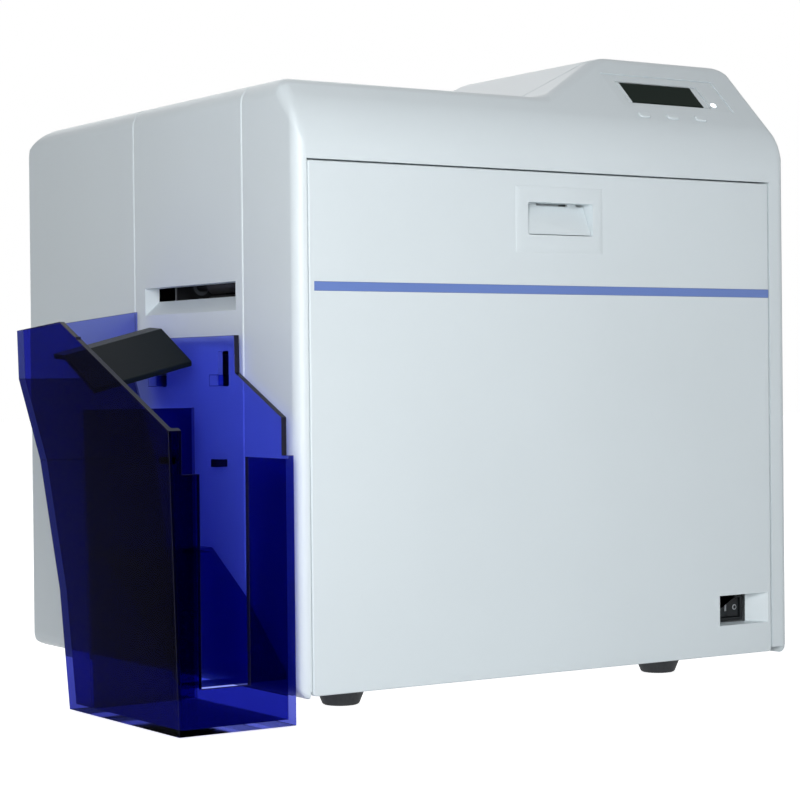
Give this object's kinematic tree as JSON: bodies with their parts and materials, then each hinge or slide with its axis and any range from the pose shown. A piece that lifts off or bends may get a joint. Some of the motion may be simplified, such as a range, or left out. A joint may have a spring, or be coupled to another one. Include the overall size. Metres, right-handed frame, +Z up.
{
  "type": "id card printer",
  "caption": "Desktop printer for ID-1 cards: moulded enclosure with a drop-down front door, a lifting hopper lid, sloped control area and a hung card stacker.",
  "frame": {"origin": "centre of the whole object's bounding box, on the surface that the feet stand on", "axes": "+X to the right along the front, +Y from the front door to the rear, +Z up"},
  "size_m": [0.423, 0.339, 0.369],
  "materials": {
    "shell_plastic": "fine satin texture, cool white-grey",
    "stripe_film": "printed blue strip",
    "sheet_steel": "plated sheet, satin",
    "pin_steel": "ground",
    "foot_rubber": "matt black",
    "roller_rubber": "ground, matt",
    "black_plastic": "fine texture",
    "window_black": "smoked, polished",
    "board_green": "solder mask",
    "lamp_lens": "lit lens",
    "stacker_blue": "polished translucent indigo",
    "ramp_blue": "polished translucent blue",
    "gear_plastic": "natural, smooth",
    "spool_film": "wound film",
    "head_metal": "extruded",
    "cassette_plastic": "fine texture",
    "belt_rubber": "matt"
  },
  "bodies": {
    "body": {"base_pan": "sheet_steel", "rubber_feet": "foot_rubber", "case_screws": "pin_steel", "front_shell": "shell_plastic", "middle_shell": "shell_plastic", "rear_shell": "shell_plastic", "connector_panel": "sheet_steel", "hinge_pins": "pin_steel", "display_bezel": "shell_plastic", "display_window": "window_black", "panel_board": "board_green", "status_lamp": "lamp_lens", "switch_housing": "black_plastic", "front_plate": "sheet_steel", "rear_plate": "sheet_steel", "spacer_rods": "pin_steel", "shaft_bushes": "gear_plastic", "card_hopper": "black_plastic", "card_guides": "black_plastic", "ribbon_cassette": "cassette_plastic", "film_cassette": "cassette_plastic", "drive_motors": "black_plastic", "feed_belt": "belt_rubber", "main_board": "board_green", "power_supply": "sheet_steel", "rear_sockets": "black_plastic", "fan_frame": "black_plastic"},
    "door": {"front_door": "shell_plastic", "door_stripe": "stripe_film", "latch_bezel": "shell_plastic"},
    "latch": {"latch_paddle": "shell_plastic"},
    "lid": {"hopper_lid": "shell_plastic"},
    "left_key": {"button_left": "shell_plastic"},
    "middle_key": {"button_middle": "shell_plastic"},
    "right_key": {"button_right": "shell_plastic"},
    "rocker": {"power_rocker": "black_plastic"},
    "stacker": {"stacker_bin": "stacker_blue", "stacker_ramp": "ramp_blue", "stacker_guide": "black_plastic"},
    "weight": {"card_weight": "head_metal"},
    "pick": {"pick_roller": "roller_rubber"},
    "feed": {"feed_roller": "roller_rubber"},
    "pinch": {"pinch_roller": "roller_rubber"},
    "cleaning": {"cleaning_roller": "roller_rubber"},
    "heat": {"heat_roller": "roller_rubber"},
    "backup": {"backup_roller": "roller_rubber"},
    "exit": {"exit_roller": "roller_rubber"},
    "exit_pinch": {"exit_pinch_roller": "roller_rubber"},
    "flipper": {"flipper": "black_plastic"},
    "flip_drive": {"flipper_drive_roller": "roller_rubber"},
    "flip_idle": {"flipper_idle_roller": "roller_rubber"},
    "flip_pinion": {"flipper_pinion": "gear_plastic"},
    "platen": {"platen_roller": "roller_rubber"},
    "platen_drive": {"platen_pinion": "gear_plastic"},
    "head": {"print_head": "head_metal"},
    "ribbon_out": {"ribbon_supply": "spool_film"},
    "ribbon_in": {"ribbon_takeup": "spool_film"},
    "film_out": {"film_supply": "spool_film"},
    "film_in": {"film_takeup": "spool_film"},
    "fan": {"fan_rotor": "black_plastic"}
  },
  "joints": [
    {"name": "door_hinge", "type": "hinge", "parent": "body", "child": "door", "pos_m": [0.04, -0.1565, 0.021], "axis": [1, 0, 0], "range_deg": [0, 90]},
    {"name": "latch_hinge", "type": "hinge", "parent": "door", "child": "latch", "pos_m": [0.04, -0.1615, 0.26], "axis": [-1, 0, 0], "range_deg": [0, 10], "stiffness_Nm_per_rad": 0.05},
    {"name": "lid_hinge", "type": "hinge", "parent": "body", "child": "lid", "pos_m": [0.1585, 0.0135, 0.357], "axis": [-1, 0, 0], "range_deg": [0, 95]},
    {"name": "rocker_hinge", "type": "hinge", "parent": "body", "child": "rocker", "pos_m": [0.1735, -0.1475, 0.0405], "axis": [0, 0, 1], "range_deg": [-12, 0]},
    {"name": "stacker_lift", "type": "slide", "parent": "body", "child": "stacker", "axis": [0, 0, 1], "range_m": [0, 0.012]},
    {"name": "weight_lift", "type": "slide", "parent": "body", "child": "weight", "axis": [0, 0, 1], "range_m": [0, 0.1]},
    {"name": "left_press", "type": "slide", "parent": "body", "child": "left_key", "axis": [0, 0.7071, -0.7071], "range_m": [0, 0.0012], "stiffness_N_per_m": 300},
    {"name": "middle_press", "type": "slide", "parent": "body", "child": "middle_key", "axis": [0, 0.7071, -0.7071], "range_m": [0, 0.0012], "stiffness_N_per_m": 300},
    {"name": "right_press", "type": "slide", "parent": "body", "child": "right_key", "axis": [0, 0.7071, -0.7071], "range_m": [0, 0.0012], "stiffness_N_per_m": 300},
    {"name": "feed_spin", "type": "hinge", "parent": "body", "child": "feed", "pos_m": [0.0825, -0.0575, 0.2216], "axis": [0, 1, 0], "continuous": true},
    {"name": "pick_spin", "type": "hinge", "parent": "body", "child": "pick", "pos_m": [0.1615, -0.0575, 0.2216], "axis": [0, 1, 0], "continuous": true},
    {"name": "exit_spin", "type": "hinge", "parent": "body", "child": "exit", "pos_m": [-0.1055, -0.0575, 0.2216], "axis": [0, 1, 0], "continuous": true},
    {"name": "pinch_spin", "type": "hinge", "parent": "body", "child": "pinch", "pos_m": [0.0825, -0.0575, 0.2334], "axis": [0, 1, 0], "continuous": true},
    {"name": "exit_pinch_spin", "type": "hinge", "parent": "body", "child": "exit_pinch", "pos_m": [-0.1055, -0.0575, 0.2334], "axis": [0, 1, 0], "continuous": true},
    {"name": "cleaning_spin", "type": "hinge", "parent": "body", "child": "cleaning", "pos_m": [0.1005, -0.0575, 0.2364], "axis": [0, 1, 0], "continuous": true},
    {"name": "heat_spin", "type": "hinge", "parent": "body", "child": "heat", "pos_m": [-0.0515, -0.0575, 0.2414], "axis": [0, 1, 0], "continuous": true},
    {"name": "backup_spin", "type": "hinge", "parent": "body", "child": "backup", "pos_m": [-0.0515, -0.0575, 0.2166], "axis": [0, 1, 0], "continuous": true},
    {"name": "flipper_turn", "type": "hinge", "parent": "body", "child": "flipper", "pos_m": [0.0185, -0.0575, 0.228], "axis": [0, 1, 0], "continuous": true},
    {"name": "flip_drive_spin", "type": "hinge", "parent": "flipper", "child": "flip_drive", "pos_m": [0.0185, -0.0575, 0.2226], "axis": [0, 1, 0], "continuous": true},
    {"name": "flip_idle_spin", "type": "hinge", "parent": "flipper", "child": "flip_idle", "pos_m": [0.0185, -0.0575, 0.2334], "axis": [0, 1, 0], "continuous": true},
    {"name": "flip_pinion_spin", "type": "hinge", "parent": "body", "child": "flip_pinion", "pos_m": [0.0185, -0.0575, 0.2505], "axis": [0, 1, 0], "continuous": true},
    {"name": "platen_spin", "type": "hinge", "parent": "body", "child": "platen", "pos_m": [0.0335, -0.0575, 0.15], "axis": [0, 1, 0], "continuous": true},
    {"name": "platen_drive_spin", "type": "hinge", "parent": "body", "child": "platen_drive", "pos_m": [0.0335, -0.0575, 0.1275], "axis": [0, 1, 0], "continuous": true},
    {"name": "head_swing", "type": "hinge", "parent": "body", "child": "head", "pos_m": [0.0785, -0.0575, 0.198], "axis": [0, -1, 0], "range_deg": [0, 10]},
    {"name": "ribbon_out_spin", "type": "hinge", "parent": "body", "child": "ribbon_out", "pos_m": [0.1315, -0.0575, 0.16], "axis": [0, 1, 0], "continuous": true},
    {"name": "ribbon_in_spin", "type": "hinge", "parent": "body", "child": "ribbon_in", "pos_m": [0.1315, -0.0575, 0.085], "axis": [0, 1, 0], "continuous": true},
    {"name": "film_out_spin", "type": "hinge", "parent": "body", "child": "film_out", "pos_m": [-0.0695, -0.0575, 0.16], "axis": [0, 1, 0], "continuous": true},
    {"name": "film_in_spin", "type": "hinge", "parent": "body", "child": "film_in", "pos_m": [-0.0695, -0.0575, 0.085], "axis": [0, 1, 0], "continuous": true},
    {"name": "fan_spin", "type": "hinge", "parent": "body", "child": "fan", "pos_m": [-0.0515, -0.0575, 0.242], "axis": [0, 1, 0], "continuous": true}
  ],
  "couplings": [
    {"joint": "pick_spin", "follows": "feed_spin", "ratio": 1},
    {"joint": "exit_spin", "follows": "feed_spin", "ratio": 1},
    {"joint": "pinch_spin", "follows": "feed_spin", "ratio": -1.2},
    {"joint": "exit_pinch_spin", "follows": "feed_spin", "ratio": -1.2},
    {"joint": "cleaning_spin", "follows": "feed_spin", "ratio": -0.75},
    {"joint": "backup_spin", "follows": "heat_spin", "ratio": -1.1818},
    {"joint": "flip_idle_spin", "follows": "flip_drive_spin", "ratio": -1},
    {"joint": "flip_pinion_spin", "follows": "flipper_turn", "ratio": -3},
    {"joint": "platen_drive_spin", "follows": "platen_spin", "ratio": -3},
    {"joint": "ribbon_in_spin", "follows": "ribbon_out_spin", "ratio": 1.2222},
    {"joint": "film_in_spin", "follows": "film_out_spin", "ratio": 1.3}
  ]
}
